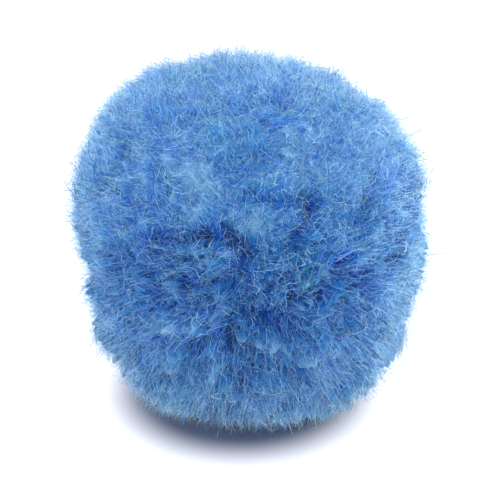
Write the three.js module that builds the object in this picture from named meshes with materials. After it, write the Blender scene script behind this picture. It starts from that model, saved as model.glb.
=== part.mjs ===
// A plush pom pom: a soft ball of cut yarn, bound at its middle, whose ends are brushed out into
// fluffy tufts. The pieces of yarn all run from the tie to the outside, so the whole ball is one
// soft body. It stands on a small flat spot, where its own weight presses the tufts level.
//
// Millimetres, +Z up, -Y is the front. The origin is the middle of the flat spot.
import * as THREE from "three";
import { mergeVertices } from "three/addons/utils/BufferGeometryUtils.js";

// The body, out to the tips of the pile
const WIDTH = 35; // a common craft size
const CROWN_HEIGHT = 15.0; // from the widest ring up to the crown
const BELLY_DEPTH = 21.2; // from the widest ring down to the lowest tips, before they are pressed
const CROWN_FULLNESS = 2.2; // the powers of the profile: 2 gives an ellipse, more is squarer
const BELLY_FULLNESS = 3.1;
const FOOT_PRESS = 0.4; // how far the lowest tips are pressed up by what the ball stands on
const FOOT_RADIUS = 5.5; // the tufts inside it are pressed level
const FREE_RADIUS = 9; // from here out the lowest tufts stand free again
const TIE_HEIGHT = 16.5; // the yarn is bound here, and every tuft points away from it

// The tufts, each one a brushed-out yarn end
const TUFT_COUNT = 150;
const TUFT_SHIFT = 0.2; // how far a tuft strays from its even place, in tuft spacings
const TUFT_LENGTH_SPREAD = 0.3; // how much longer or shorter a tuft is than its neighbours
const CROWN_GROOVE_DEPTH = 0.7; // between the trimmed tufts that stand up
const BELLY_GROOVE_DEPTH = 1.25; // between the looser ones that hang
const GROOVE_SHARPNESS = 11; // per millimetre: more makes a narrower groove
const HANGING = { from: 0.4, to: -0.5 }; // how far up, as a sine, the tufts start to hang, and hang fully

// The parting down the front, where the pile falls to the left and to the right
const PARTING = { azimuth: -98, top: 22, bottom: -36, lean: 9, width: 2.2, depth: 1.4, fade: 0.3 };

// Broad swells and hollows of the hand-trimmed ball, seen from the tie, in degrees and millimetres
const SWELLS = [
  { name: "left shoulder", azimuth: 165, elevation: 42, spread: 20, height: 0.7 },
  { name: "right shoulder", azimuth: 27, elevation: 52, spread: 18, height: -0.2 },
  { name: "left side", azimuth: 186, elevation: 8, spread: 16, height: 0.5 },
  { name: "left waist", azimuth: 188, elevation: -14, spread: 10, height: -0.4 },
  { name: "left hip", azimuth: 190, elevation: -30, spread: 12, height: 0.6 },
  { name: "left heel", azimuth: 222, elevation: -46, spread: 20, height: 1.1 },
  { name: "right side", azimuth: -4, elevation: -10, spread: 18, height: 0.6 },
  { name: "right heel", azimuth: -40, elevation: -48, spread: 20, height: 1.5 },
  { name: "back hollow", azimuth: 118, elevation: 8, spread: 18, height: -0.6 },
  { name: "back swell", azimuth: 70, elevation: -20, spread: 24, height: 0.6 },
];

const FACETS = 21; // steps along each edge of the icosahedron that the ball is shaped from

const { degToRad, lerp, radToDeg, smoothstep } = THREE.MathUtils;
const GOLDEN_ANGLE = Math.PI * (3 - Math.sqrt(5));
const RING_HEIGHT = BELLY_DEPTH - FOOT_PRESS;
const TUFT_SPACING = WIDTH * Math.sqrt(Math.PI / TUFT_COUNT);

// An even spread of numbers from 0 to 1, the same in every run
function scatter(index, kind) {
  const value = Math.sin(index * 12.9898 + kind * 78.233) * 43758.5453;
  return value - Math.floor(value);
}

// The direction that lies this far round from +X towards +Y, and this far up, in degrees
function towards(azimuth, elevation) {
  const level = Math.cos(degToRad(elevation));
  return new THREE.Vector3(
    level * Math.cos(degToRad(azimuth)),
    level * Math.sin(degToRad(azimuth)),
    Math.sin(degToRad(elevation)),
  );
}

// Tufts lie on a golden-angle spiral from the crown to the foot, each one a little off its place.
function makeTufts() {
  return Array.from({ length: TUFT_COUNT }, (_, i) => {
    const height = 1 - (2 * i + 1) / TUFT_COUNT;
    const ring = Math.sqrt(1 - height * height);
    const turn = i * GOLDEN_ANGLE;
    const shift = (TUFT_SHIFT * TUFT_SPACING) / (WIDTH / 2);
    const axis = new THREE.Vector3(
      ring * Math.cos(turn) + shift * (2 * scatter(i, 1) - 1),
      ring * Math.sin(turn) + shift * (2 * scatter(i, 2) - 1),
      height + shift * (2 * scatter(i, 3) - 1),
    ).normalize();
    return { axis, extra: TUFT_LENGTH_SPREAD * (2 * scatter(i, 4) - 1) };
  });
}

const TUFTS = makeTufts();

// The smooth body before it is divided into tufts: two half superellipses that meet at the widest ring
function bodyPoint(direction) {
  const across = Math.hypot(direction.x, direction.y);
  const crown = direction.z >= 0;
  const height = crown ? CROWN_HEIGHT : BELLY_DEPTH;
  const power = crown ? CROWN_FULLNESS : BELLY_FULLNESS;
  const sum = (across / (WIDTH / 2)) ** power + (Math.abs(direction.z) / height) ** power;
  const point = direction.clone().multiplyScalar(sum ** (-1 / power));
  return point.setZ(point.z + RING_HEIGHT);
}

// How far the tufts under this direction stand above or below the smooth body: each is a dome, and
// the domes run into each other in a soft groove.
function tuftRelief(direction) {
  const hanging = smoothstep(-direction.z, -HANGING.from, -HANGING.to);
  const groove = lerp(CROWN_GROOVE_DEPTH, BELLY_GROOVE_DEPTH, hanging);
  const domes = TUFTS.reduce((sum, tuft) => {
    const gap = (WIDTH / 2) * tuft.axis.distanceTo(direction);
    const height = tuft.extra - groove * (gap / (TUFT_SPACING / 2)) ** 2;
    return sum + Math.exp(GROOVE_SHARPNESS * height);
  }, 0);
  return Math.log(domes) / GROOVE_SHARPNESS;
}

function swellRelief(direction) {
  return SWELLS.reduce((sum, swell) => {
    const off = direction.angleTo(towards(swell.azimuth, swell.elevation));
    return sum + swell.height * Math.exp(-((off / degToRad(swell.spread)) ** 2));
  }, 0);
}

function partingRelief(direction) {
  const elevation = radToDeg(Math.asin(direction.z));
  const along = (elevation - PARTING.bottom) / (PARTING.top - PARTING.bottom);
  const line = towards(PARTING.azimuth + PARTING.lean * (0.5 - along), elevation);
  const off = (WIDTH / 2) * line.distanceTo(direction);
  const ends = smoothstep(along, 0, PARTING.fade) * smoothstep(1 - along, 0, PARTING.fade);
  return -PARTING.depth * ends * Math.exp(-((off / PARTING.width) ** 2));
}

// Moves a point of the unit ball out to the tips of the pile.
function pilePoint(unit) {
  const point = bodyPoint(unit);
  const direction = point.clone().sub(new THREE.Vector3(0, 0, TIE_HEIGHT)).normalize();
  const fromMiddle = Math.hypot(point.x, point.y);
  const free = direction.z > 0 ? 1 : smoothstep(fromMiddle, FOOT_RADIUS, FREE_RADIUS);
  const relief = tuftRelief(direction) + swellRelief(direction) + partingRelief(direction);
  point.addScaledVector(direction, relief * free);
  return point.setZ(Math.max(point.z, 0));
}

function makeBall() {
  const ball = new THREE.IcosahedronGeometry(1, FACETS - 1);
  ball.deleteAttribute("normal");
  ball.deleteAttribute("uv");
  const geometry = mergeVertices(ball, 1e-4);
  const places = geometry.getAttribute("position");
  for (let i = 0; i < places.count; i++) {
    const unit = new THREE.Vector3().fromBufferAttribute(places, i).normalize();
    places.setXYZ(i, ...pilePoint(unit).toArray());
  }
  // The tufts reach a little further on one side than on the other, so the ball is centred again.
  geometry.computeBoundingBox();
  const middle = geometry.boundingBox.getCenter(new THREE.Vector3());
  geometry.translate(-middle.x, -middle.y, 0);
  geometry.computeVertexNormals();
  return geometry;
}

const yarn = new THREE.MeshStandardMaterial({ color: 0x5a9ad6, roughness: 0.95, metalness: 0 });
const pomPom = new THREE.Mesh(makeBall(), yarn);
pomPom.name = "yarn_ball";

const group = new THREE.Group();
group.add(pomPom);

export default group;
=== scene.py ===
"""A plush pom pom: a dense ball of cut yarn, its ends brushed out into fluffy tufts.

The ball is built from the inside out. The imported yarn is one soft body, rounded into locks and curls
under the outline that the frame gives. Fine crimped fibres grow out of it, each the way that its lock
lies, and stray fibres and down curl over them all.
"""

import math
from types import SimpleNamespace

import bpy
import numpy as np
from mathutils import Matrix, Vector, kdtree


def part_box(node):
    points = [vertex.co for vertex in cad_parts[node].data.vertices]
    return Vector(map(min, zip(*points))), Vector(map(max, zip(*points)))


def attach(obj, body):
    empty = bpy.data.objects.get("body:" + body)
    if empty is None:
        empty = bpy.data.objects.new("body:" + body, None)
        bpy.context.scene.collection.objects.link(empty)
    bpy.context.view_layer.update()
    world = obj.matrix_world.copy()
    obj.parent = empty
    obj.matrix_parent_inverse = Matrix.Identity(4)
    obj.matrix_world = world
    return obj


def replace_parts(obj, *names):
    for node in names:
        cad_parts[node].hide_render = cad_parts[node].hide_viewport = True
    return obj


bl_info = {
    "name": "Plush Pom Pom",
    "version": (1, 0, 0),
    "blender": (4, 5, 0),
    "location": "View3D > Sidebar > Pom Pom",
    "description": "Builds a fluffy ball of cut and brushed-out yarn",
    "category": "Add Mesh",
}

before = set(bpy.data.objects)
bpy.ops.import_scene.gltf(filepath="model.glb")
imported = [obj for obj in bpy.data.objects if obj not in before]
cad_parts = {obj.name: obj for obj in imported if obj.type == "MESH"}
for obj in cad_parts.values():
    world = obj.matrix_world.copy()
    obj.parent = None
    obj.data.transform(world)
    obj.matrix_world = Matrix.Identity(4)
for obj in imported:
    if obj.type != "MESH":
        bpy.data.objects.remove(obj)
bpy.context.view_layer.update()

BODY = "root"
BALL_NODE = "yarn_ball"

BALL_LOW, BALL_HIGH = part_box(BALL_NODE)
BALL_WIDTH = BALL_HIGH.x - BALL_LOW.x
BALL_HEIGHT = BALL_HIGH.z - BALL_LOW.z
TIE_HEIGHT = 0.46 * BALL_HEIGHT  # the yarn is bound here, and every tuft points away from it

MM = 0.001
GOLDEN_ANGLE = math.pi * (3 - math.sqrt(5))
FIBRE_MAP = "OFBake"  # across it the tint and tone of a fibre, up it the way from root to tip
PILE_PLACE = "pile_place"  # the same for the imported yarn, held by its vertices
PILE_GRAIN = "pile_grain"  # the place in millimetres, drawn out the way that the lock there lies
DRAWN_OUT = 0.62  # how far it is drawn out: 0 is not at all
GRAIN_STAND = 0.25  # how far its way stands up against the lean of the lock
TABLE_GAP = 0.06 * MM  # how far over the table the lowest fibres end

PILE_SHADING = 0.65  # how far a fibre is shaded as the pile, and not as a round thread
CHUNKS = 64  # parts that many directions are worked through in, which saves memory

# Colour. A tone is 0 for the darkest fibre and 1 for the lightest. A height is 0 at the deep colour of the
# roots and 1 at the pale colour of the tips. The deep roots are partly painted shade, the shade deep in the
# pile, and the pale tips are partly the yarn's frosted ends and partly painted light.
TINT_SHARES = (0.78, 0.18, 0.04)  # how many fibres are plain, greener and more violet
TINT_HUES = (0.5, 0.482, 0.512)  # their hues: 0.5 changes nothing
MIDDLE_TONE = 0.5  # at this tone a fibre has the plain colour
LOCK_TINTED = 0.5  # how many fibres take the tint of their lock, and not one of their own
TONE_CONTRAST = 0.9  # how much lighter the lightest fibres are than the darkest
TONE_SPREAD = 0.2  # how much the tones of fibres that stand together differ
SATURATION = {"plain": 0.99, "lighter": -0.5}  # at the middle tone, and what a lighter tone adds
FOOT_PAINTED_SHADE = 0.06  # painted shade at the foot, in tone
GAP_PAINTED_SHADE = 0.10  # painted shade in the gaps, in tone, for each millimetre of depth
# The painted shade and light grow no further beyond these depths, in millimetres under the outline
DEPTHS = {"tone": (-0.8, 2), "height": (-0.5, 2), "strays": (0, 2)}
SUNKEN = 0.5  # how far a fibre that ends low counts as in a gap, for its painted shade
PALE_SHARE = 0.34  # how many of the fibres have lost their colour at the tip
TIP_START = 0.55  # how far up a fibre its colour starts to pale
# The heights of the tips: of a fibre that has lost its colour and of a plain one, how much they differ, what
# a millimetre of depth takes as painted shade and hanging adds, and how much lower the root is for each
# millimetre of length.
TIPS = {"pale": 0.76, "plain": 0.42, "spread": 0.06, "depth": 0.3, "hanging": 0.15, "slope": 0.26}
# Painted light: round the sides, the crown and the back the pile is painted paler, for the light from above
# and the pale glow of fuzz seen edge-on. Its heights are raised by up to this much, and its tones by these
# shares of that. The zone says where, as the cosine of the way off the whorl.
PAINTED_SIDE_LIGHT = {"height": 0.4, "fibre_tone": 0.5, "stray_tone": 0.4, "zone": (0.05, 0.85)}
# The fibres' finish, set on the sockets of each shader
FINISH = {
    "Roughness": 0.7,
    "Specular IOR Level": 0.05,
    "Sheen Weight": 0.35,
    "Sheen Roughness": 0.5,
    "Sheen Tint": (0.75, 0.9, 1, 1),
}

# Where the pile changes its habit going down: the sines at which a change starts and is complete
LEANING = (-0.3, 0.5)  # the pile leans downwards
HANGING = (-0.7, -0.1)  # the tufts hang, and no longer stand up
FOOT = (0.45, 0.8)  # the foot, which gets painted shade and has no paler tips
PRESSED = (0.5, 0.8)  # the tufts are pressed out by the ball's weight

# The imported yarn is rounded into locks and, over them, into smaller curls. lean is how much each
# strays from the way of its place, as a slope. top is the range of how far under the outline it ends,
# and groove how deep the gaps round it are, for one that stands up and for one that hangs, all in
# millimetres. tone is how much their tones differ.
LEVELS = {
    "lock": {"lean": 0.55, "top": (-0.3, 0.6), "groove": (0.12, 1.1), "tone": 0.05},
    "curl": {"lean": 0.75, "top": (-0.25, 0.35), "groove": (0.22, 0.95), "tone": 0.07},
}
LOCK_SHIFT = 0.4  # how far a lock strays from its even place, in their spacings
FANNING = 0.35  # how far the fibres at the edge of a lock fan out, as a slope
# The shape of a lock or curl that leans: a long lobe, its top forward, blunt in front and drawn out
# behind, each by a share of its slope. steepest is the most that a slope counts, standing the share of
# its top that it keeps where the tufts stand up, and neighbours how many meet at a place.
LOBE = {"neighbours": 5, "steepest": 0.9, "forward": 0.5, "blunt": 0.4, "drawn": 1.2, "standing": 0.5}
ROUNDNESS = 10.0  # per millimetre: more makes a sharper gap between two locks
# Where the pile is brushed up fuller than the frame's ball: places in degrees, spreads in ball radii,
# heights in millimetres
FULLER = [
    {"name": "left shoulder", "place": (135, 57), "spread": 0.3, "height": 0.9},
    {"name": "right shoulder", "place": (48, 58), "spread": 0.28, "height": 0.5},
    {"name": "left waist", "place": (190, -8), "spread": 0.3, "height": 1.1},
    {"name": "left heel", "place": (202, -36), "spread": 0.25, "height": 0.5},
    {"name": "left temple", "place": (160, 35), "spread": 0.34, "height": 0.55},
    {"name": "right waist", "place": (-3, 2), "spread": 0.27, "height": 1.1},
    {"name": "right hip", "place": (-9, -20), "spread": 0.22, "height": 0.5},
    {"name": "right heel", "place": (-25, -42), "spread": 0.3, "height": 1.1},
]
FOOT_SPREAD = 0.7  # how far in millimetres the tufts at the foot are pressed out by the ball's weight
BODY_UNDER = 0.3 * MM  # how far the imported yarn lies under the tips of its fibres
BODY_LIFT = 0.3 * MM  # how far off the table it stays
# The imported yarn's colour: its middle tone, its height, and what a millimetre of depth takes as painted
# shade in its grooves
BODY_COLOUR = {"tone": 0.42, "height": 0.55, "depth": 0.30}
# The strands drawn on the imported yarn: strands to a millimetre, how far they curl, their
# width, and a shift that keeps the layers apart
STRAND_LAYERS = [
    {"scale": 1.3, "distortion": 0.9, "width": 0.05, "shift": 0.0},
    {"scale": 1.9, "distortion": 0.7, "width": 0.06, "shift": 31.0},
    {"scale": 2.8, "distortion": 0.4, "width": 0.09, "shift": 57.0},
]
STRAND_PALER = 0.34  # how far a strand's height lies over that of the yarn round it
MOTTLES = {"scale": 2.2, "detail": 3, "tone": 0.15, "height": 0.8}  # clouds, and what they change
STRAND_BUMP = {"Strength": 0.7, "Distance": 0.1 * MM}
# The ball that is laid on the frame's ball, and the smoothing that eases the grooves between its tufts
OUTLINE = {"subdivisions": 7, "factor": 0.5, "rounds": 60}
# Waves that keep the locks uneven: how many, how many radians they turn over a ball radius, and how
# far they shift a place, in ball radii
RIPPLES = [{"waves": 24, "pitch": 22, "height": 0.016}, {"waves": 24, "pitch": 55, "height": 0.008}]

# The layers of fibres. share is a part of all the fibres, length and width are in millimetres. sunk is
# how far under the pile's surface the highest tips end (negative is over it), and uneven how much
# deeper the others do, in millimetres. stand is how far a fibre stands up against the lean of its
# lock, loose how much it strays from it, and bend how much it is bowed. paler is added to its tone, and
# points are the places along it that get a ring or, at 1, the tip.
LAYERS = [
    {
        "name": "filling", "share": 0.26, "length": 2.4, "width": 0.085, "sunk": -0.50, "uneven": 0.2,
        "stand": 1.0, "loose": 0.25, "bend": 0.1, "paler": -0.02, "points": (0, 1),
    },
    {
        "name": "fuzz", "share": 0.44, "length": 1.3, "width": 0.066, "sunk": -0.75, "uneven": 0.24,
        "stand": 1.0, "loose": 0.36, "bend": 0.1, "paler": 0.0, "points": (0, 1),
    },
    {
        "name": "curled", "share": 0.30, "length": 1.6, "width": 0.056, "sunk": -0.90, "uneven": 0.28,
        "stand": 0.85, "loose": 0.5, "bend": 0.3, "paler": 0.03, "points": (0, 0.5, 1),
    },
]

# What the layers share: how much less a hanging fibre strays, how far the tips of a curl close up and
# how much further where it hangs, how far a fibre bows outwards, the ranges that lengths and widths
# are multiplied by, and how wide the last ring is.
GROWTH = {
    "steadier": 0.35, "closing": 0.16, "closing_hung": 0.2, "bow": 0.22,
    "lengths": (0.7, 1.2), "widths": (0.65, 1.2), "taper": 0.62,
}

# Loose fibres over the tufts. length, slimness (their width), crimp and over (how far they may stand
# out past the tips) are in millimetres. steps is how many points one has. stand is 0 for one that lies
# flat and 1 for one that stands straight out, follow is how far it leans as its lock does, and bridged
# how little it dips into the gaps. The gathered ones lie thickest round the whorl.
STRAY_SHAPES = {
    "stray_fibres": {
        "length": (1.2, 3.4), "slimness": (0.03, 0.05), "steps": 4, "stand": (0.0, 0.6), "follow": 0.4,
        "crimp": 0.4, "over": 0.6, "bridged": 0.25, "gathered": True,
    },
    "fine_wisps": {
        "length": (0.9, 2.2), "slimness": (0.032, 0.046), "steps": 4, "stand": (0.0, 0.7), "follow": 0.4,
        "crimp": 0.45, "over": 0.3, "bridged": 0.1, "gathered": True,
    },
    "fine_down": {
        "length": (1.5, 3.0), "slimness": (0.02, 0.03), "steps": 3, "stand": (0.8, 1.0), "follow": 0.12,
        "crimp": 0.3, "over": 1.3, "bridged": 0.8, "gathered": False,
    },
}
# What they share. The gathered ones thin out over the zone, a cosine of the way off the whorl, to thinnest.
# All start inside the pile, by a depth in millimetres and by a share of their length, and curl is how far
# they turn from step to step. tones and tips are the ranges of the tone and of the tip's height. The height
# is less, as painted shade, where the pile hangs and for each millimetre of gap; it is also less for down,
# and by slope at the root.
STRAYS = {
    "thinnest": 0.45, "zone": (-0.2, 0.8), "depth": 0.3, "rooted": 0.3, "curl": (0.2, 1.1), "taper": 0.7,
    "tones": (0.45, 0.8), "tips": (0.56, 0.91), "hanging": 0.26, "gap": 0.1, "slope": 0.2, "down": 0.1,
}
STRAY_UPWARDS = np.array([0, 0, 0.2])  # loose fibres stand free, so they catch more light from above

# The pile falls away to all sides of this place on the front, in degrees seen from the tie. The slope
# grows to strength over core and wears off over spread, in ball widths. Where the pile is swept upwards
# it is weaker.
WHORL = {"azimuth": -95, "elevation": 24, "strength": 0.55, "core": 0.12, "spread": 0.42}
WEAKER_UPWARDS = {"share": 0.6, "zone": (0.0, 0.7)}
PILE_FALL = np.array([0, 0, -0.35])  # how the hanging pile leans, as a slope

# Where the tufts have come apart and show the deep colour under them. A parting runs through these
# places, each an azimuth and an elevation in degrees, and is this wide and deep in millimetres.
PARTINGS = [
    {"name": "middle", "run": ((-102, 30), (-90, 25), (-94, 19)), "width": 0.75, "depth": 1.8},
    {"name": "upper left", "run": ((-102, 30), (-112, 26), (-126, 25)), "width": 0.6, "depth": 1.1},
    {"name": "upper right", "run": ((-76, 25), (-69, 35)), "width": 0.6, "depth": 1.3},
    {"name": "crown edge", "run": ((-90, 39), (-80, 36), (-69, 38)), "width": 0.5, "depth": 0.8},
    {"name": "left hollow", "run": ((-111, 13), (-106, 16)), "width": 0.8, "depth": 1.3},
    {"name": "left side", "run": ((-122, 6), (-134, -10)), "width": 0.7, "depth": 0.9},
    {"name": "left belly", "run": ((-122, -12), (-111, -11), (-102, -5)), "width": 0.8, "depth": 1.3},
    {"name": "front belly", "run": ((-97, 0), (-97, -14)), "width": 0.6, "depth": 1.6},
    {"name": "right belly", "run": ((-92, 4), (-84, 2), (-75, 1)), "width": 0.9, "depth": 1.5},
    {"name": "under belly", "run": ((-88, -12), (-80, -15)), "width": 0.9, "depth": 1.2},
    {"name": "right side", "run": ((-60, 19), (-47, 4)), "width": 0.9, "depth": 1.1},
    {"name": "right hip", "run": ((-58, 1), (-52, -1)), "width": 0.8, "depth": 1.2},
    {"name": "right shoulder", "run": ((-53, 29), (-41, 38)), "width": 0.6, "depth": 0.8},
]
# A parting pushes the fibres off to its sides, over some of its widths, and darkens them as painted shade in
# the parting
PARTED = {"slope": 0.5, "reach": 2.5, "darker": 0.12}

# Tufts that lie across the others, pale side out: their place, the way they lie as a turn from level
# right upwards, all in degrees, their length and width in millimetres, and how much paler they are.
BRUSHES = [
    {"name": "long left", "place": (-104, 3), "turn": 238, "long": 3.2, "wide": 1.5, "paler": 0.2},
    {"name": "across left", "place": (-109, 16), "turn": 195, "long": 2.2, "wide": 0.7, "paler": 0.14},
    {"name": "low left", "place": (-119, -5), "turn": 225, "long": 1.8, "wide": 1.0, "paler": 0.2},
    {"name": "upper left", "place": (-106, 33), "turn": 160, "long": 1.6, "wide": 0.9, "paler": 0.13},
    {"name": "high left", "place": (-110, 43), "turn": 150, "long": 1.6, "wide": 0.8, "paler": 0.10},
    {"name": "between", "place": (-97, 23), "turn": 145, "long": 1.6, "wide": 0.5, "paler": 0.12},
    {"name": "middle right", "place": (-86, 19), "turn": 325, "long": 1.8, "wide": 0.6, "paler": 0.11},
    {"name": "front", "place": (-82, 10), "turn": 290, "long": 1.8, "wide": 1.0, "paler": 0.16},
    {"name": "right", "place": (-64, -2), "turn": 315, "long": 2.0, "wide": 1.3, "paler": 0.18},
    {"name": "far right", "place": (-48, 21), "turn": 30, "long": 1.8, "wide": 1.0, "paler": 0.08},
    {"name": "belly", "place": (-83, -9), "turn": 350, "long": 2.6, "wide": 0.8, "paler": 0.18},
    {"name": "hanging", "place": (-102, -15), "turn": 270, "long": 1.8, "wide": 0.7, "paler": 0.14},
    {"name": "foot", "place": (-89, -32), "turn": 270, "long": 1.8, "wide": 0.9, "paler": 0.11},
    {"name": "right foot", "place": (-71, -16), "turn": 290, "long": 1.6, "wide": 0.9, "paler": 0.10},
]
# How far the fibres follow a brush, how flat it lays them (a slope), and by how many millimetres it
# lifts them
BRUSHED = {"share": 0.6, "slope": 0.9, "rise": 0.35}

# The fibres are made in groups, each a piece of its own. A group holds those that point between these
# elevations and azimuths, in degrees.
TUFT_GROUPS = [
    {"name": "tufts_crown", "up": (36, 90), "round": (-180, 180)},
    {"name": "tufts_front_left", "up": (-42, 36), "round": (-180, -90)},
    {"name": "tufts_front_right", "up": (-42, 36), "round": (-90, 0)},
    {"name": "tufts_back_right", "up": (-42, 36), "round": (0, 90)},
    {"name": "tufts_back_left", "up": (-42, 36), "round": (90, 180)},
    {"name": "tufts_foot", "up": (-90, -42), "round": (-180, 180)},
]

# The table: in metres its size, in ball widths where its plain white starts and is complete, round a place
# this far aside, and its colours for the light and for the camera. The darker colour that the camera sees
# near the ball is painted shadow, deepening and tinting the ball's real shadow.
TABLE = {
    "size": 2, "roughness": 0.9, "aside": 0.025, "clear": (0.28, 0.455),
    "lit": (0.90, 0.87, 0.80), "seen": (0.15, 0.19, 0.30),
}
SKY = {"tint": (0.88, 0.95, 1), "strength": 0.95}
# Each lamp is a square sheet of light that faces the ball, its place in ball widths from the middle.
LAMP_SIZE = 4.0  # in ball widths
LAMPS = [
    {"name": "sky_panel", "place": (0.5, -0.4, 6.0), "watts": 0.15, "tint": (0.6, 0.9, 1)},
    {"name": "front_panel", "place": (0.2, -6.5, 3.0), "watts": 0.13, "tint": (1, 0.95, 0.9)},
    {"name": "left_panel", "place": (-6.5, 0.4, 1.1), "watts": 0.26, "tint": (1, 0.95, 0.9)},
    {"name": "right_panel", "place": (6.5, 0.4, 1.1), "watts": 0.4, "tint": (1, 0.95, 0.9)},
]
# The camera looks at a place this high over the table and this far aside, from this many degrees up
CAMERA = {
    "aim": 16.3 * MM, "aside": 0.05 * MM, "up": 25, "distance": 100.6 * MM, "lens": 70, "near": 1 * MM,
}


# ---------------------------------------------------------------- sizes and colours a user changes


class PomPomPile(bpy.types.PropertyGroup):
    """How the yarn ends are brushed out"""

    locks: bpy.props.IntProperty(
        name="Locks", description="Number of locks that the packed yarn is rounded into", default=520, min=50
    )
    curls: bpy.props.IntProperty(
        name="Curls", description="Number of smaller curls over the locks", default=1300, min=50
    )
    fibres: bpy.props.IntProperty(
        name="Fibres", description="Number of fibres that make up the tufts", default=95000, min=1000
    )
    fullness: bpy.props.FloatProperty(
        name="Fullness", description="Length and width of every fibre, as a share of their own", default=1.0
    )
    crimp: bpy.props.FloatProperty(
        name="Crimp", description="How far a fibre wanders from its line", default=0.13 * MM, unit="LENGTH"
    )
    strays: bpy.props.IntProperty(
        name="Stray fibres", description="Number of fibres that curl over the tufts", default=4200
    )
    wisps: bpy.props.IntProperty(
        name="Wisps", description="Number of finer fibres that curl close to the tufts", default=6400
    )
    down: bpy.props.IntProperty(
        name="Down", description="Number of fine hairs that soften the outline", default=17500
    )
    seed: bpy.props.IntProperty(name="Seed", description="Start of the random numbers", default=7)


def colour_property(name, description, default):
    """A colour that the panel shows."""
    return bpy.props.FloatVectorProperty(
        name=name, description=description, subtype="COLOR", size=3, default=default, min=0, max=1
    )


class PomPomColours(bpy.types.PropertyGroup):
    """Colours of the yarn"""

    # The deep colour of the roots is partly painted shade, the shade deep in the pile, and the pale tip
    # colour is partly painted light.
    deep: colour_property("Deep", "Colour of the yarn at the roots of the tufts", (0.001, 0.07, 0.56))
    body: colour_property("Body", "Colour of the yarn halfway up the tufts", (0.035, 0.27, 0.77))
    tip: colour_property("Tip", "Colour of the brushed-out ends", (0.34, 0.64, 0.89))
    stray: colour_property("Stray fibres", "Colour of the loose fibres over the tufts", (0.56, 0.77, 0.96))


# ---------------------------------------------------------------- small helpers


def select_only(piece):
    """Makes one object the active and the only selected one."""
    bpy.ops.object.select_all(action="DESELECT")
    piece.select_set(True)
    bpy.context.view_layer.objects.active = piece


def apply_modifiers(piece):
    """Applies the piece's modifiers in their order."""
    select_only(piece)
    for modifier in list(piece.modifiers):
        bpy.ops.object.modifier_apply(modifier=modifier.name)


def finish_piece(piece, material):
    """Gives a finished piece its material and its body."""
    piece.data.materials.clear()
    piece.data.materials.append(material)
    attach(piece, BODY)


def unit(vectors):
    """The vectors at length 1, row by row."""
    return vectors / np.maximum(np.linalg.norm(vectors, axis=-1, keepdims=True), 1e-12)


def blend(value, low, high):
    """0 below low, 1 above high and a soft step between them."""
    share = np.clip((value - low) / (high - low), 0, 1)
    return share * share * (3 - 2 * share)


def below(outwards, zone):
    """0 above a zone of the ball and 1 below it, the zone given as sines of how far down it lies."""
    return blend(-outwards[:, 2:], *zone)


def along_surface(slopes, outwards):
    """The slopes without what points straight out."""
    return slopes - outwards * (slopes * outwards).sum(1, keepdims=True)


def on_map(value):
    """A value from 0 to 1, kept a little inside its band of the map."""
    margin, reach = 0.02, 0.95
    return margin + reach * value


def spiral_directions(count, shift, rng):
    """Even directions all round on a golden-angle spiral, each strayed by a share of its spacing."""
    place = np.arange(count)
    height = 1 - (2 * place + 1) / count
    ring = np.sqrt(1 - height * height)
    turn = place * GOLDEN_ANGLE
    even = np.stack([ring * np.cos(turn), ring * np.sin(turn), height], 1)
    spacing = 2 * math.sqrt(math.pi / count)
    return unit(even + shift * spacing * rng.uniform(-1, 1, (count, 3)))


def group_mean(values, group, count):
    """The mean of the rows that share a group number."""
    total = np.zeros((count, values.shape[1]))
    np.add.at(total, group, values)
    return total / np.maximum(np.bincount(group, minlength=count), 1)[:, None]


# ---------------------------------------------------------------- the frame's surface


def ball_middle():
    """The middle of the ball, halfway up."""
    return Vector((0, 0, BALL_LOW.z + BALL_HEIGHT / 2))


def smooth_outline():
    """A ball of even triangles laid on the frame's ball, with the grooves between its tufts eased."""
    bpy.ops.object.select_all(action="DESELECT")
    bpy.ops.mesh.primitive_ico_sphere_add(
        subdivisions=OUTLINE["subdivisions"], radius=BALL_WIDTH / 2, location=ball_middle()
    )
    ball = bpy.context.object
    bpy.ops.object.transform_apply(location=True, rotation=True, scale=True)
    wrap = ball.modifiers.new("wrap", "SHRINKWRAP")
    wrap.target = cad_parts[BALL_NODE]
    wrap.wrap_method = "NEAREST_SURFACEPOINT"
    smooth = ball.modifiers.new("smooth", "SMOOTH")
    smooth.factor = OUTLINE["factor"]
    smooth.iterations = OUTLINE["rounds"]
    apply_modifiers(ball)
    # Smoothing shrinks the ball a little, so it is brought back to the size of the frame's.
    places = vertex_places(ball)
    low, high = places.min(0), places.max(0)
    wanted_low, wanted_high = np.array(BALL_LOW), np.array(BALL_HIGH)
    places = wanted_low + (places - low) * (wanted_high - wanted_low) / (high - low)
    ball.data.vertices.foreach_set("co", places.ravel())
    ball.data.update()
    return ball


def vertex_places(piece):
    """The places of the piece's vertices, row by row."""
    places = np.zeros(len(piece.data.vertices) * 3)
    piece.data.vertices.foreach_get("co", places)
    return places.reshape(-1, 3)


def outline_triangles():
    """The corners of the eased outline's triangles, as an array of triangle, corner, axis."""
    ball = smooth_outline()
    places = vertex_places(ball)
    corners = np.zeros(len(ball.data.loops), dtype=np.int64)
    ball.data.loops.foreach_get("vertex_index", corners)
    bpy.data.meshes.remove(ball.data)
    return places[corners.reshape(-1, 3)]


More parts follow.
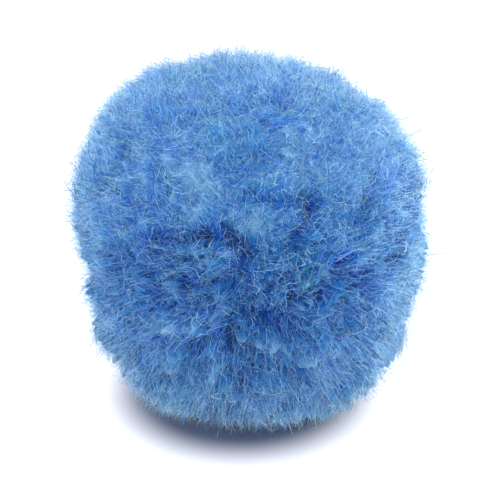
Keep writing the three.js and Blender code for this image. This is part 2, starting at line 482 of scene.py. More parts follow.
def surface_points(triangles, count, rng):
    """Points spread over the outline by area."""
    sides = np.cross(triangles[:, 1] - triangles[:, 0], triangles[:, 2] - triangles[:, 0])
    reach = np.cumsum(np.linalg.norm(sides, axis=1))
    even = (np.arange(count) + rng.uniform(0, 1, count)) / count
    chosen = triangles[np.minimum(np.searchsorted(reach, even * reach[-1]), len(triangles) - 1)]
    share = rng.uniform(0, 1, (count, 2))
    share = np.where(share.sum(1, keepdims=True) > 1, 1 - share, share)
    along, across = chosen[:, 1] - chosen[:, 0], chosen[:, 2] - chosen[:, 0]
    return chosen[:, 0] + share[:, :1] * along + share[:, 1:] * across


def tie_point():
    """Where the yarn is bound."""
    return np.array([0, 0, BALL_LOW.z + TIE_HEIGHT])


# ---------------------------------------------------------------- fibres


def fibre_faces(rings):
    """The corners of one fibre's triangles, and how far up the fibre each of them lies."""
    faces, ups = [], []
    for ring in range(rings):
        for corner in range(3):
            a, b = ring * 3 + corner, ring * 3 + (corner + 1) % 3
            if ring < rings - 1:
                faces += [(a, b, b + 3), (a, b + 3, a + 3)]
                ups += [(ring, ring, ring + 1), (ring, ring + 1, ring + 1)]
            else:
                faces.append((a, b, rings * 3))
                ups.append((ring, ring, rings))
    faces.append((0, 2, 1))
    ups.append((0, 0, 0))
    return np.array(faces), np.array(ups) / rings


def fibre_mesh(name, lines, widths, tones, tints, ramps, pile_normals, rng):
    """One mesh of closed three-sided fibres that taper to a point.

    lines holds each fibre's points from root to tip, widths the width at each point but the tip, and
    ramps how pale its root and its tip are. pile_normals is the way that the pile faces round it.
    """
    count, steps = lines.shape[:2]
    rings = steps - 1
    heading = unit(np.gradient(lines, axis=1))[:, :rings]
    turn = rng.uniform(-1, 1, (count, 1, 3))
    side = unit(np.cross(heading, turn))
    other = np.cross(heading, side)
    corners = []
    for corner in range(3):
        angle = 2 * math.pi * corner / 3
        out = math.cos(angle) * side + math.sin(angle) * other
        corners.append(lines[:, :rings] + out * widths[:, :, None] / 2)
    body = np.stack(corners, 2).reshape(count, rings * 3, 3)
    places = np.concatenate([body, lines[:, -1:]], 1)

    faces, ups = fibre_faces(rings)
    per_fibre = rings * 3 + 1
    first = np.arange(count)[:, None, None] * per_fibre
    corner_rows = (faces[None] + first).reshape(-1)
    mesh = bpy.data.meshes.new(name)
    mesh.vertices.add(count * per_fibre)
    mesh.vertices.foreach_set("co", places.astype(np.float32).ravel())
    mesh.loops.add(len(corner_rows))
    mesh.loops.foreach_set("vertex_index", corner_rows.astype(np.int32))
    mesh.polygons.add(count * len(faces))
    mesh.polygons.foreach_set("loop_start", np.arange(0, len(corner_rows), 3, dtype=np.int32))
    mesh.update(calc_edges=True)

    # The map is three bands side by side, one for each tint, with the tone across a band. Each face
    # keeps a little width on it: its second and third corners stand off to one side.
    strip = 0.003
    aside = np.tile([0, strip, strip / 2], (len(faces), 1))
    place = (tints + on_map(np.clip(tones, 0, 1))) / len(TINT_SHARES)
    across = place[:, None, None] + aside[None]
    low, high = np.clip(ramps, 0, 1).T[:, :, None, None]
    up = on_map(low + (high - low) * ups[None])
    layer = mesh.uv_layers.new(name=FIBRE_MAP)
    layer.data.foreach_set("uv", np.stack([across, up], -1).astype(np.float32).ravel())

    # Light passes through fibres this fine, so they are shaded mostly as the pile that they lie in.
    off_line = body - np.repeat(lines[:, :rings], 3, axis=1)
    own = np.concatenate([off_line, lines[:, -1:] - lines[:, -2:-1]], 1)
    normals = unit(PILE_SHADING * pile_normals[:, None] + (1 - PILE_SHADING) * unit(own))
    mesh.normals_split_custom_set_from_vertices(normals.reshape(-1, 3).astype(np.float32))
    return mesh


def add_fibres(name, meshes, material):
    """Adds a piece made of layers of fibres and finishes it."""
    bpy.ops.object.select_all(action="DESELECT")
    for mesh in meshes:
        layer = bpy.data.objects.new(name, mesh)
        bpy.context.scene.collection.objects.link(layer)
        layer.select_set(True)
        bpy.context.view_layer.objects.active = layer
    if len(meshes) > 1:
        bpy.ops.object.join()
    piece = bpy.context.object
    piece.name = piece.data.name = name
    finish_piece(piece, material)
    return piece


def towards(azimuth, elevation):
    """The direction that lies this far round from +X towards +Y, and this far up, in degrees."""
    across, up = math.radians(azimuth), math.radians(elevation)
    return np.array([math.cos(up) * math.cos(across), math.cos(up) * math.sin(across), math.sin(up)])


def whorl_way():
    """The direction from the tie to the whorl."""
    return towards(WHORL["azimuth"], WHORL["elevation"])


def painted_side_light(outwards):
    """The painted light: how much paler the pile is painted round the sides, the crown and the back than on
    the front.
    """
    return PAINTED_SIDE_LIGHT["height"] * (1 - blend(outwards @ whorl_way(), *PAINTED_SIDE_LIGHT["zone"]))


def combing(places, outwards):
    """How the pile leans away from straight out: off the whorl at the front, and down the sides."""
    away = places - tie_point() - whorl_way() * BALL_WIDTH / 2
    distance = np.linalg.norm(away, axis=1, keepdims=True) / BALL_WIDTH
    away = unit(along_surface(away, outwards))
    strength = WHORL["strength"] * np.exp(-((distance / WHORL["spread"]) ** 2))
    strength = strength * np.minimum(distance / WHORL["core"], 1)
    strength = strength * (1 - WEAKER_UPWARDS["share"] * blend(away[:, 2:], *WEAKER_UPWARDS["zone"]))
    lean = away * strength + PILE_FALL * below(outwards, LEANING)
    return along_surface(lean, outwards)


def off_run(outwards, run):
    """How far each direction lies off the nearest point of a run of places, in ball radii."""
    turns = [towards(*place) for place in run]
    off = np.full(outwards.shape, np.inf)
    for start, end in zip(turns, turns[1:]):
        side = end - start
        along = np.clip((outwards - start) @ side / (side @ side), 0, 1)[:, None]
        gap = outwards - start - along * side
        nearer = np.linalg.norm(gap, axis=1) < np.linalg.norm(off, axis=1)
        off = np.where(nearer[:, None], gap, off)
    return off


def groom(lean, outwards):
    """Adds the partings and the brushes: the new lean, the depth in millimetres and the tone."""
    radius = BALL_WIDTH / 2 / MM
    depth, tone = np.zeros((len(lean), 1)), np.zeros((len(lean), 1))
    for brush in BRUSHES:
        middle = towards(*brush["place"])
        right = unit(np.cross([0, 0, 1], middle))
        turn = math.radians(brush["turn"])
        way = math.cos(turn) * right + math.sin(turn) * np.cross(middle, right)
        off = (outwards - middle) * radius
        along = (off @ way)[:, None]
        across = np.linalg.norm(off - along * way, axis=1, keepdims=True)
        share = np.exp(-((along / brush["long"]) ** 2) - (across / brush["wide"]) ** 2)
        lean = lean + (way * BRUSHED["slope"] - lean) * share * BRUSHED["share"]
        depth = depth - BRUSHED["rise"] * share
        tone = tone + brush["paler"] * share
    for parting in PARTINGS:
        off = off_run(outwards, parting["run"]) * radius
        distance = np.linalg.norm(off, axis=1, keepdims=True) / parting["width"]
        push = PARTED["slope"] * np.minimum(distance, 1) * np.exp(-((distance / PARTED["reach"]) ** 2))
        lean = lean + unit(off) * push
        share = np.exp(-(distance**2))
        depth = depth + parting["depth"] * share
        # Painted shade in the parting
        tone = tone - PARTED["darker"] * share
    return along_surface(lean, outwards), depth, tone


def lay_out_pile(pile):
    """The locks and the curls, each with its own way, and the ripples that keep them uneven."""
    rng = np.random.default_rng(pile.seed)
    levels = {}
    for name, count in (("lock", pile.locks), ("curl", pile.curls)):
        habit = LEVELS[name]
        axes = spiral_directions(count, LOCK_SHIFT, rng)
        lean = rng.normal(0, habit["lean"], (count, 3))
        if name == "lock":
            lean = lean + combing(tie_point() + axes * BALL_WIDTH / 2, axes)
        levels[name] = {
            "axes": axes,
            "lean": along_surface(lean, axes),
            "top": rng.uniform(*habit["top"], count),
            "groove": habit["groove"],
            "tone": rng.normal(0, habit["tone"], (count, 1)),
            "tint": rng.choice(len(TINT_SHARES), count, p=TINT_SHARES),
        }
    waves = []
    for row in RIPPLES:
        pitch = rng.normal(0, row["pitch"], (row["waves"], 3))
        phase = rng.uniform(0, 2 * math.pi, row["waves"])
        waves.append((pitch, phase, rng.normal(0, row["height"], (row["waves"], 3))))
    return {"levels": levels, "waves": waves}


def lobes(outwards, level, hanging):
    """The lock over each direction, how far off its middle that is, and how deep its rounded top is."""
    axes = level["axes"]
    half = math.sqrt(math.pi / len(axes))
    count = LOBE["neighbours"]
    parts = np.array_split(outwards, CHUNKS)
    near = np.concatenate([np.argpartition(-(part @ axes.T), count, 1)[:, :count] for part in parts])
    off = (outwards[:, None] - axes[near]) / half
    slope = np.linalg.norm(level["lean"], axis=1)
    flat = np.minimum(slope, LOBE["steepest"])[near]
    way = unit(level["lean"])[near]
    along = (off * way).sum(2)
    across = (off * off).sum(2) - along**2
    ahead = along - LOBE["forward"] * flat
    length = np.where(ahead > 0, 1 - LOBE["blunt"] * flat, 1 + LOBE["drawn"] * flat)
    standing, hung = level["groove"]
    groove = standing + (hung - standing) * hanging
    top = level["top"][near] * (LOBE["standing"] + (1 - LOBE["standing"]) * hanging)
    depth = top + groove * (across + (ahead / length) ** 2)
    owner = np.take_along_axis(near, depth.argmin(1)[:, None], 1)[:, 0]
    joined = -np.log(np.exp(-ROUNDNESS * depth).sum(1, keepdims=True)) / ROUNDNESS
    return owner, (outwards - axes[owner]) / half, joined


def read_pile(outwards, layout):
    """The pile in each direction: its depth in millimetres, lean and tone, and its lock and curl."""
    hanging = below(outwards, HANGING)
    wavy = outwards
    for pitch, phase, height in layout["waves"]:
        wavy = wavy + np.sin(outwards @ pitch.T + phase) @ height
    wavy = unit(wavy)
    found = SimpleNamespace(hanging=hanging, depth=0, lean=0, tone=0)
    for name, level in layout["levels"].items():
        owner, off, depth = lobes(wavy, level, hanging)
        found.depth = found.depth + depth
        found.lean = found.lean + level["lean"][owner] + FANNING * off
        found.tone = found.tone + level["tone"][owner]
        setattr(found, name, owner)
    found.lean, groomed, toned = groom(found.lean, outwards)
    found.shade = found.depth + groomed
    found.depth = found.shade - FOOT_SPREAD * below(outwards, PRESSED)
    for swell in FULLER:
        off = np.linalg.norm(outwards - towards(*swell["place"]), axis=1, keepdims=True) / swell["spread"]
        found.depth = found.depth - swell["height"] * np.exp(-(off**2))
    # Painted shade: the foot and the gaps between the locks are darkened, and tips that stand over the
    # outline are lightened as painted light.
    darker = FOOT_PAINTED_SHADE * below(outwards, FOOT) + GAP_PAINTED_SHADE * np.clip(found.shade, *DEPTHS["tone"])
    found.tone = (found.tone + toned - darker)[:, 0]
    return found


def face_of_pile(places, body):
    """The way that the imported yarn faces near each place."""
    tree = kdtree.KDTree(len(body.data.vertices))
    for vertex in body.data.vertices:
        tree.insert(vertex.co, vertex.index)
    tree.balance()
    near = np.array([tree.find(place)[1] for place in places])
    normals = np.zeros(len(body.data.vertices) * 3)
    body.data.vertices.foreach_get("normal", normals)
    return normals.reshape(-1, 3)[near]


def grow_fibres(triangles, pile, layer, layout, rng):
    """One layer of fibres: their lines, widths, tones, tints and ramps, and the way out of the ball."""
    count = int(pile.fibres * layer["share"])
    base = surface_points(triangles, count, rng)
    outwards = unit(base - tie_point())
    found = read_pile(outwards, layout)
    astray = rng.normal(0, layer["loose"], (count, 3)) * (1 - GROWTH["steadier"] * found.hanging)
    heading = unit(outwards * layer["stand"] + along_surface(found.lean + astray, outwards))
    low = layer["sunk"] + rng.gamma(2, layer["uneven"], (count, 1))
    tips = base - outwards * (found.depth + low) * MM

    # The tips of a curl close up a little.
    curls = len(layout["levels"]["curl"]["axes"])
    curl_tip = group_mean(tips, found.curl, curls)[found.curl]
    closing = GROWTH["closing"] + GROWTH["closing_hung"] * found.hanging
    tips = tips + (curl_tip - tips) * closing * rng.uniform(0, 1, (count, 1))
    length = layer["length"] * pile.fullness * MM * rng.uniform(*GROWTH["lengths"], (count, 1))
    roots = tips - heading * length

    share = np.array(layer["points"])[None, :, None]
    chord = unit(tips - roots)
    rise = along_surface(outwards, chord)
    bow = (rise * GROWTH["bow"] + rng.normal(0, layer["bend"], (count, 3))) * length
    # The bow is a parabola, and the crimp sets in over the first quarter.
    lines = roots[:, None] + (tips - roots)[:, None] * share + bow[:, None] * 4 * share * (1 - share)
    lines = lines + rng.normal(0, pile.crimp, lines.shape) * np.minimum(share * 4, 1)
    lines[:, :, 2] = np.maximum(lines[:, :, 2], BALL_LOW.z + TABLE_GAP)

    width = rng.uniform(*GROWTH["widths"], (count, 1)) * layer["width"] * pile.fullness * MM
    widths = width * np.linspace(1, GROWTH["taper"], len(layer["points"]) - 1)[None]
    # Painted light: the fibres are paler round the sides, the crown and the back.
    side_light = painted_side_light(outwards)
    tones = MIDDLE_TONE + layer["paler"] + found.tone + rng.normal(0, TONE_SPREAD, count)
    tones = tones + PAINTED_SIDE_LIGHT["fibre_tone"] * side_light
    tints = rng.choice(len(TINT_SHARES), count, p=TINT_SHARES)
    lock_tints = layout["levels"]["lock"]["tint"][found.lock]
    tints = np.where(rng.uniform(0, 1, count) < LOCK_TINTED, lock_tints, tints)
    # Painted shade: a tip deep in a gap reaches less far up the colours, and one over the outline further.
    shade = np.clip(found.shade[:, 0] + low[:, 0] * SUNKEN, *DEPTHS["height"])
    pale = rng.uniform(0, 1, count) < PALE_SHARE
    top = np.where(pale, TIPS["pale"], TIPS["plain"]) - TIPS["depth"] * shade
    top = top + rng.normal(0, TIPS["spread"], count) + side_light
    top = top + TIPS["hanging"] * (found.hanging * (1 - below(outwards, FOOT)))[:, 0]
    ramps = np.stack([top - TIPS["slope"] * length[:, 0] / MM, top], 1)
    return SimpleNamespace(
        lines=lines, widths=widths, tones=tones, tints=tints, ramps=ramps, outwards=outwards, base=tips
    )


def make_strays(
    triangles, layout, count, rng, length, slimness, steps, stand, follow, crimp, over, bridged, gathered
):
    """The lines and widths of loose fibres that lie over the tufts, with ranges in millimetres."""
    # Half of the places are kept, more of them where the loose fibres lie thickest.
    base = surface_points(triangles, 2 * count, rng)
    facing = unit(base - tie_point()) @ whorl_way()
    thinnest = STRAYS["thinnest"] if gathered else 1
    wanted = thinnest + (1 - thinnest) * blend(facing, *STRAYS["zone"])
    base = base[np.argsort(rng.uniform(0, 1, len(base)) / wanted)[:count]]
    outwards = unit(base - tie_point())
    found = read_pile(outwards, layout)
    base = base - outwards * found.depth * (1 - bridged) * MM
    sideways = unit(np.cross(outwards, rng.normal(0, 1, (count, 3))))
    length = rng.uniform(*length, (count, 1)) * MM
    rise = rng.uniform(*stand, (count, 1))
    heading = unit(outwards * rise + sideways * (1 - rise) + found.lean * follow)
    line = [base - outwards * STRAYS["depth"] * MM - heading * STRAYS["rooted"] * length]
    turn_axis = unit(rng.normal(0, 1, (count, 3)))
    turn = rng.uniform(*STRAYS["curl"], (count, 1))
    for _ in range(steps - 1):
        line.append(line[-1] + heading * length / (steps - 1))
        bend = np.cross(turn_axis, heading) * turn + rng.normal(0, crimp, (count, 3))
        heading = unit(heading + bend)
    lines = np.stack(line, 1)
    # One that would stand out further than this lies back against the tufts.
    allowed = np.linalg.norm(base - tie_point(), axis=1)[:, None, None] + over * MM
    away = lines - tie_point()
    far = np.linalg.norm(away, axis=2, keepdims=True)
    lines = tie_point() + away * np.minimum(allowed / far, 1)
    lines[:, :, 2] = np.maximum(lines[:, :, 2], BALL_LOW.z + TABLE_GAP)
    widths = rng.uniform(*slimness, (count, 1)) * MM * np.linspace(1, STRAYS["taper"], steps - 1)[None]
    return lines, widths, outwards, np.clip(found.shade[:, 0], *DEPTHS["strays"])


# ---------------------------------------------------------------- materials


def add_node(tree, kind, place, inputs=None, **values):
    """Adds a shader node at a place in the tree, with its own values, and links or fills its inputs."""
    node = tree.nodes.new(kind)
    node.location = place
    for name, value in values.items():
        setattr(node, name, value)
    for name, source in (inputs or {}).items():
        if isinstance(source, bpy.types.NodeSocket):
            tree.links.new(source, node.inputs[name])
        else:
            node.inputs[name].default_value = source
    return node


def add_math(tree, operation, place, *inputs):
    """Adds a Math node, fed with sockets or numbers, and gives what it puts out."""
    node = add_node(tree, "ShaderNodeMath", place, dict(enumerate(inputs)), operation=operation)
    return node.outputs[0]


def add_vector_math(tree, operation, place, *inputs):
    """The same for a Vector Math node."""
    node = add_node(tree, "ShaderNodeVectorMath", place, dict(enumerate(inputs)), operation=operation)
    return node.outputs["Value" if operation == "LENGTH" else "Vector"]


def new_group(name, inputs, output):
    """A new node group, what comes into it and the node that takes what it puts out.

    inputs gives each socket's name with its kind, or with the number that a plain number starts at.
    output is a name and a kind.
    """
    tree = bpy.data.node_groups.new(name, "ShaderNodeTree")
    for socket, kind in inputs.items():
        if isinstance(kind, str):
            tree.interface.new_socket(socket, in_out="INPUT", socket_type=kind)
        else:
            number = tree.interface.new_socket(socket, in_out="INPUT", socket_type="NodeSocketFloat")
            number.default_value = kind
    tree.interface.new_socket(output[0], in_out="OUTPUT", socket_type=output[1])
    given = add_node(tree, "NodeGroupInput", (-1100, 0)).outputs
    return tree, given, add_node(tree, "NodeGroupOutput", (700, 0))


def fibre_tone_group():
    """A node group that colours a fibre by the way along it and by its own tone."""
    name = "Fibre Tone"
    if name in bpy.data.node_groups:
        return bpy.data.node_groups[name]
    colours = {socket: "NodeSocketColor" for socket in ("Root", "Middle", "Tip")}
    tree, given, output = new_group(
        name,
        {"Place": "NodeSocketVector", **colours, "Contrast": TONE_CONTRAST, "Tip Start": TIP_START},
        ("Colour", "NodeSocketColor"),
    )
    split = add_node(tree, "ShaderNodeSeparateXYZ", (-900, -300), {0: given["Place"]}).outputs

    # Up the map the colour goes from the root's over the middle's to the tip's.
    below_start = {"Value": split["Y"], "From Max": given["Tip Start"]}
    above_start = {"Value": split["Y"], "From Min": given["Tip Start"]}
    soft = {"interpolation_type": "SMOOTHSTEP"}
    lower = add_node(tree, "ShaderNodeMapRange", (-650, 200), below_start, **soft).outputs[0]
    upper = add_node(tree, "ShaderNodeMapRange", (-650, -100), above_start, **soft).outputs[0]
    first = {"Factor": lower, "A": given["Root"], "B": given["Middle"]}
    first = add_node(tree, "ShaderNodeMix", (-350, 200), first, data_type="RGBA").outputs["Result"]
    second = {"Factor": upper, "A": first, "B": given["Tip"]}
    second = add_node(tree, "ShaderNodeMix", (-100, 100), second, data_type="RGBA").outputs["Result"]

    # The bands of the map: plain, greener, more violet. In each, the tone goes from dark to light.
    bands = add_math(tree, "MULTIPLY", (-850, -450), split["X"], len(TINT_SHARES))
    tone = add_math(tree, "FRACT", (-650, -400), bands)
    from_middle = add_math(tree, "SUBTRACT", (-500, -400), tone, MIDDLE_TONE)
    value = add_math(tree, "MULTIPLY_ADD", (-350, -400), from_middle, given["Contrast"], 1.0)
    band = add_math(tree, "FLOOR", (-650, -600), bands)
    halved = add_math(tree, "DIVIDE", (-600, -700), band, len(TINT_SHARES) - 1)
    hue = add_node(tree, "ShaderNodeFloatCurve", (-500, -600), {"Value": halved})
    curve = hue.mapping.curves[0]
    curve.points[0].location = (0.0, TINT_HUES[0])
    curve.points[1].location = (1.0, TINT_HUES[2])
    curve.points.new(0.5, TINT_HUES[1])
    for point in curve.points:
        point.handle_type = "VECTOR"
    hue.mapping.update()

    # A dark fibre is a deeper blue, and a light one a paler one.
    saturation = add_math(
        tree, "MULTIPLY_ADD", (-350, -250), from_middle, SATURATION["lighter"], SATURATION["plain"]
    )
    tinted = {"Saturation": saturation, "Color": second, "Value": value, "Hue": hue.outputs[0]}
    tinted = add_node(tree, "ShaderNodeHueSaturation", (300, 0), tinted)
    tree.links.new(tinted.outputs["Color"], output.inputs["Colour"])
    return tree


def new_material(name):
    """A material with its Principled shader, ready to be wired."""
    material = bpy.data.materials.new(name)
    material.use_nodes = True
    shader = material.node_tree.nodes["Principled BSDF"]
    for socket, value in FINISH.items():
        shader.inputs[socket].default_value = value
    return material, shader


def add_tone(tree, place, root, middle, tip):
    """Places the fibre tone group with its colours, and gives the colour for the place on the map."""
    tone = add_node(tree, "ShaderNodeGroup", (-300, 200), node_tree=fibre_tone_group())
    inputs = {"Root": (*root, 1), "Middle": (*middle, 1), "Tip": (*tip, 1)}
    for socket, value in {**inputs, "Contrast": TONE_CONTRAST, "Tip Start": TIP_START}.items():
        tone.inputs[socket].default_value = value
    tree.links.new(place, tone.inputs["Place"])
    return tone.outputs["Colour"]


def fibre_material(name, root, middle, tip):
    """Brushed acrylic fibre: deep at the root, partly as painted shade in the pile, and pale at the tip,
    partly as painted light.
    """
    material, shader = new_material(name)
    tree = material.node_tree
    place = add_node(tree, "ShaderNodeUVMap", (-600, 0), uv_map=FIBRE_MAP)
    tree.links.new(add_tone(tree, place.outputs["UV"], root, middle, tip), shader.inputs["Base Color"])
    return material


def strand_group():
    """A node group that draws thin curly strands: pale lines on a dark ground."""
    name = "Curly Strands"
    if name in bpy.data.node_groups:
        return bpy.data.node_groups[name]
    tree, given, output = new_group(
        name,
        {"Vector": "NodeSocketVector", "Scale": 1.0, "Distortion": 0.5, "Width": 0.1},
        ("Strands", "NodeSocketFloat"),
    )
    noise = {socket: given[socket] for socket in ("Vector", "Scale", "Distortion")}
    noise = add_node(tree, "ShaderNodeTexNoise", (-600, 0), {"Detail": 1.5, **noise})
    middle = add_math(tree, "SUBTRACT", (-400, 0), noise.outputs["Fac"], 0.5)
    off = add_math(tree, "ABSOLUTE", (-200, 0), middle)
    line = {"Value": off, "From Max": given["Width"], "To Min": 1.0, "To Max": 0.0}
    line = add_node(tree, "ShaderNodeMapRange", (0, 0), line)
    tree.links.new(line.outputs[0], output.inputs["Strands"])
    return tree


def packed_material(colours):
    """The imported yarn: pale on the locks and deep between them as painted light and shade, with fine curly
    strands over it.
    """
    material, shader = new_material("packed_yarn")
    tree = material.node_tree
    grain = add_node(tree, "ShaderNodeAttribute", (-1700, 0), attribute_name=PILE_GRAIN).outputs["Vector"]
    most = None
    for step, row in enumerate(STRAND_LAYERS):
        moved = add_vector_math(tree, "ADD", (-1500, -200 * step), grain, (row["shift"],) * 3)
        strands = add_node(tree, "ShaderNodeGroup", (-1300, -200 * step), node_tree=strand_group())
        for socket in ("Scale", "Distortion", "Width"):
            strands.inputs[socket].default_value = row[socket.lower()]
        tree.links.new(moved, strands.inputs["Vector"])
        drawn = strands.outputs[0]
        most = add_math(tree, "MAXIMUM", (-1100, -200 * step), most, drawn) if step else drawn
    cloudy = {"Scale": MOTTLES["scale"], "Detail": MOTTLES["detail"], "Vector": grain}
    cloudy = add_node(tree, "ShaderNodeTexNoise", (-1300, 300), cloudy)
    centred = add_vector_math(tree, "SUBTRACT", (-1100, 300), cloudy.outputs["Color"], (0.5, 0.5, 0.5))
    place = add_node(tree, "ShaderNodeAttribute", (-1100, 500), attribute_name=PILE_PLACE).outputs["Vector"]
    strength = (MOTTLES["tone"], MOTTLES["height"], 0)
    mottled = add_vector_math(tree, "MULTIPLY_ADD", (-900, 300), centred, strength, place)
    lines = add_node(tree, "ShaderNodeCombineXYZ", (-900, 0), {"Y": most}).outputs[0]
    raised = (0, STRAND_PALER, 0)
    stranded = add_vector_math(tree, "MULTIPLY_ADD", (-700, 200), lines, raised, mottled)
    colour = add_tone(tree, stranded, colours.deep, colours.body, colours.tip)
    tree.links.new(colour, shader.inputs["Base Color"])
    bump = add_node(tree, "ShaderNodeBump", (-300, -200), {**STRAND_BUMP, "Height": most})
    tree.links.new(bump.outputs["Normal"], shader.inputs["Normal"])
    return material


# ---------------------------------------------------------------- operators


class POMPOM_OT_packed(bpy.types.Operator):
    """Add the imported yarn, rounded into locks and curls"""

    bl_idname = "pompom.packed"
    bl_label = "Add Packed Yarn"

    def execute(self, context):
        colours, pile = context.scene.pompom_colours, context.scene.pompom_pile
        packed = smooth_outline()
        packed.name = packed.data.name = "packed_yarn"
        places = vertex_places(packed)
        outwards = unit(places - tie_point())
        found = read_pile(outwards, lay_out_pile(pile))
        places = places - outwards * (found.depth * MM + BODY_UNDER)
        places[:, 2] = np.maximum(places[:, 2], BALL_LOW.z + BODY_LIFT)
        packed.data.vertices.foreach_set("co", places.ravel())
        # Painted shade: the yarn is deeper in colour the deeper it lies in the grooves, and paler on the
        # tops of the locks.
        shade = np.clip(found.shade[:, 0], *DEPTHS["height"])
        place = np.zeros((len(places), 3), dtype=np.float32)
        place[:, 0] = on_map(np.clip(BODY_COLOUR["tone"] + found.tone, 0, 1)) / len(TINT_SHARES)
        place[:, 1] = BODY_COLOUR["height"] - BODY_COLOUR["depth"] * shade
        way = unit(found.lean + GRAIN_STAND * outwards)
        grain = places - DRAWN_OUT * way * (places * way).sum(1, keepdims=True)
        for name, values in ((PILE_PLACE, place), (PILE_GRAIN, grain / MM)):
            held = packed.data.attributes.new(name, "FLOAT_VECTOR", "POINT")
            held.data.foreach_set("vector", values.astype(np.float32).ravel())
        packed.data.update()
        bpy.ops.object.shade_smooth()
        finish_piece(packed, packed_material(colours))
        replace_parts(packed, BALL_NODE)
        return {"FINISHED"}


class POMPOM_OT_tufts(bpy.types.Operator):
    """Add the brushed-out tufts, one piece for each side of the ball"""

    bl_idname = "pompom.tufts"
    bl_label = "Add Tufts"

    def execute(self, context):
        colours, pile = context.scene.pompom_colours, context.scene.pompom_pile
        material = fibre_material("brushed_pile", colours.deep, colours.body, colours.tip)
        rng = np.random.default_rng(pile.seed + 2)
        layout = lay_out_pile(pile)
        triangles = outline_triangles()
        layers = [grow_fibres(triangles, pile, layer, layout, rng) for layer in LAYERS]
        for grown in layers:
            grown.facing = face_of_pile(grown.base, bpy.data.objects["packed_yarn"])
            grown.up = np.degrees(np.arcsin(grown.outwards[:, 2]))
            grown.turn = np.degrees(np.arctan2(grown.outwards[:, 1], grown.outwards[:, 0]))
        for group in TUFT_GROUPS:
            (low, high), (start, end) = group["up"], group["round"]
            meshes = []
            for grown in layers:
                inside = (grown.up >= low) & (grown.up < high) & (grown.turn >= start) & (grown.turn < end)
                parts = (grown.lines, grown.widths, grown.tones, grown.tints, grown.ramps, grown.facing)
                meshes.append(fibre_mesh(group["name"], *(values[inside] for values in parts), rng))
            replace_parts(add_fibres(group["name"], meshes, material), BALL_NODE)
        return {"FINISHED"}


class POMPOM_OT_strays(bpy.types.Operator):
    """Add the loose fibres that curl over the tufts, and the fine down that softens the outline"""

    bl_idname = "pompom.strays"
    bl_label = "Add Stray Fibres"

    def execute(self, context):
        pile, colours = context.scene.pompom_pile, context.scene.pompom_colours
        material = fibre_material("stray_fibre", colours.body, colours.tip, colours.stray)
        rng = np.random.default_rng(pile.seed + 1)
        layout = lay_out_pile(pile)
        triangles = outline_triangles()
        counts = {"stray_fibres": pile.strays, "fine_wisps": pile.wisps, "fine_down": pile.down}
        for name, count in counts.items():
            shape = STRAY_SHAPES[name]
            lines, widths, outwards, shade = make_strays(triangles, layout, count, rng, **shape)
            # Painted light and shade: paler round the sides, the crown and the back, and deeper where the
            # pile hangs and in the gaps. Down is also a little deeper.
            side_light = painted_side_light(outwards)
            tones = rng.uniform(*STRAYS["tones"], count) + PAINTED_SIDE_LIGHT["stray_tone"] * side_light
            tints = rng.choice(len(TINT_SHARES), count, p=TINT_SHARES)
            deeper = STRAYS["hanging"] * below(outwards, HANGING)[:, 0] + STRAYS["gap"] * shade
            deeper = deeper + (STRAYS["down"] if name == "fine_down" else 0)
            top = rng.uniform(*STRAYS["tips"], count) - deeper + side_light
            ramps = np.stack([top - STRAYS["slope"], top], 1)
            lit = unit(outwards + STRAY_UPWARDS)
            mesh = fibre_mesh(name, lines, widths, tones, tints, ramps, lit, rng)
            add_fibres(name, [mesh], material)
        return {"FINISHED"}


class POMPOM_OT_stage(bpy.types.Operator):
    """Set up the pale table, the soft light and the camera"""

    bl_idname = "pompom.stage"
    bl_label = "Set Up Stage"

    def execute(self, context):
        add_table()
        add_world(context.scene)
        add_lamps()
        add_camera(context.scene)
        return {"FINISHED"}


def seen_straight(tree, place):
    """1 for what the camera sees straight, in a reflection or through glass, and 0 for the light."""
    rays = add_node(tree, "ShaderNodeLightPath", place).outputs
    x, y = place
    seen = add_math(tree, "MAXIMUM", (x + 200, y), rays["Is Camera Ray"], rays["Is Glossy Ray"])
    return add_math(tree, "MAXIMUM", (x + 350, y), seen, rays["Is Transmission Ray"])


def add_table():
    """A white table that shows white to the camera and keeps the ball's shadow, deepened near the ball as
    painted shadow.
    """
    bpy.ops.object.select_all(action="DESELECT")
    bpy.ops.mesh.primitive_plane_add(size=TABLE["size"], location=(0, 0, BALL_LOW.z))
    table = bpy.context.object
    table.name = table.data.name = "table"
    material = bpy.data.materials.new("table_white")
    material.use_nodes = True
    tree = material.node_tree
    shader = tree.nodes["Principled BSDF"]
    shader.inputs["Roughness"].default_value = TABLE["roughness"]
    # Away from the ball the table shows plain white, and near it the shadow stays.
    place = add_node(tree, "ShaderNodeTexCoord", (-1100, -400)).outputs["Object"]
    aside = add_vector_math(tree, "ADD", (-900, -400), place, (TABLE["aside"] * BALL_WIDTH, 0, 0))
    distance = add_vector_math(tree, "LENGTH", (-700, -400), aside)
    start, end = (share * BALL_WIDTH for share in TABLE["clear"])
    clear = {"From Min": start, "From Max": end, "Value": distance}
    clear = add_node(tree, "ShaderNodeMapRange", (-500, -400), clear, interpolation_type="SMOOTHSTEP")
    seen = seen_straight(tree, (-500, -200))
    glow = add_math(tree, "MULTIPLY", (0, -200), seen, clear.outputs[0])
    shader.inputs["Emission Color"].default_value = (1, 1, 1, 1)
    tree.links.new(glow, shader.inputs["Emission Strength"])
    # Painted shadow: near the ball the camera sees the dark, bluish colour, which deepens the real shadow.
    ground = {"A": (*TABLE["lit"], 1), "B": (*TABLE["seen"], 1), "Factor": seen}
    ground = add_node(tree, "ShaderNodeMix", (-150, 200), ground, data_type="RGBA")
    tree.links.new(ground.outputs["Result"], shader.inputs["Base Color"])
    table.data.materials.append(material)


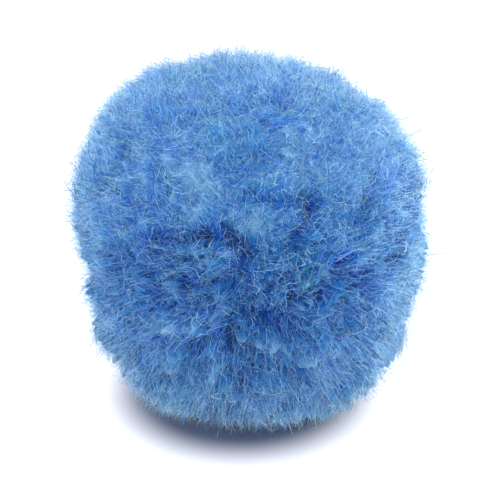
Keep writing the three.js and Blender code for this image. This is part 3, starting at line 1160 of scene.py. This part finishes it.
def add_world(scene):
    """Soft light from all round, and plain white behind the ball."""
    world = bpy.data.worlds.new("studio")
    scene.world = world
    world.use_nodes = True
    tree = world.node_tree
    tree.nodes.clear()
    seen = seen_straight(tree, (-600, 200))
    white = {"Color": (1, 1, 1, 1), "Strength": 1.0}
    white = add_node(tree, "ShaderNodeBackground", (0, 200), white).outputs[0]
    soft = {"Color": (*SKY["tint"], 1), "Strength": SKY["strength"]}
    soft = add_node(tree, "ShaderNodeBackground", (0, 0), soft).outputs[0]
    mix = add_node(tree, "ShaderNodeMixShader", (250, 100), {"Fac": seen, 1: soft, 2: white})
    add_node(tree, "ShaderNodeOutputWorld", (450, 100), {"Surface": mix.outputs[0]})


def add_lamps():
    """The soft sheets of light over, in front of and beside the ball."""
    middle = ball_middle()
    for row in LAMPS:
        place = middle + Vector(row["place"]) * BALL_WIDTH
        bpy.ops.object.light_add(type="AREA", location=place)
        lamp = bpy.context.object
        lamp.name = lamp.data.name = row["name"]
        lamp.rotation_euler = (place - middle).to_track_quat("Z", "Y").to_euler()
        lamp.data.size = LAMP_SIZE * BALL_WIDTH
        lamp.data.energy = row["watts"]
        lamp.data.color = row["tint"]


def add_camera(scene):
    """The camera, a little above the ball and in front of it."""
    aim = Vector((CAMERA["aside"], 0, BALL_LOW.z + CAMERA["aim"]))
    up = math.radians(CAMERA["up"])
    place = aim + Vector((0, -math.cos(up), math.sin(up))) * CAMERA["distance"]
    bpy.ops.object.camera_add(location=place)
    camera = bpy.context.object
    camera.name = camera.data.name = "camera"
    camera.rotation_euler = (place - aim).to_track_quat("Z", "Y").to_euler()
    camera.data.lens = CAMERA["lens"]
    camera.data.clip_start = CAMERA["near"]
    camera.data.dof.use_dof = False
    scene.camera = camera


class POMPOM_PT_panel(bpy.types.Panel):
    """Sizes, colours and buttons of the pom pom"""

    bl_idname = "POMPOM_PT_panel"
    bl_label = "Pom Pom"
    bl_space_type = "VIEW_3D"
    bl_region_type = "UI"
    bl_category = "Pom Pom"

    def draw(self, context):
        layout = self.layout
        for group in (context.scene.pompom_pile, context.scene.pompom_colours):
            box = layout.box()
            for name in group.bl_rna.properties.keys():
                if name not in ("rna_type", "name"):
                    box.prop(group, name)
        for operator in OPERATORS:
            layout.operator(operator.bl_idname)


OPERATORS = (POMPOM_OT_stage, POMPOM_OT_packed, POMPOM_OT_tufts, POMPOM_OT_strays)
CLASSES = (PomPomPile, PomPomColours, *OPERATORS, POMPOM_PT_panel)


def register():
    """Registers the classes and their settings on the scene."""
    for cls in CLASSES:
        bpy.utils.register_class(cls)
    bpy.types.Scene.pompom_pile = bpy.props.PointerProperty(type=PomPomPile)
    bpy.types.Scene.pompom_colours = bpy.props.PointerProperty(type=PomPomColours)


def unregister():
    """Takes the settings and the classes away again."""
    del bpy.types.Scene.pompom_colours
    del bpy.types.Scene.pompom_pile
    for cls in reversed(CLASSES):
        bpy.utils.unregister_class(cls)


def main():
    """Builds the stage and the ball."""
    register()
    bpy.context.scene.view_settings.view_transform = "Standard"
    bpy.ops.pompom.stage()
    bpy.ops.pompom.packed()
    bpy.ops.pompom.tufts()
    bpy.ops.pompom.strays()
    bpy.context.view_layer.update()


if __name__ == "__main__":
    main()
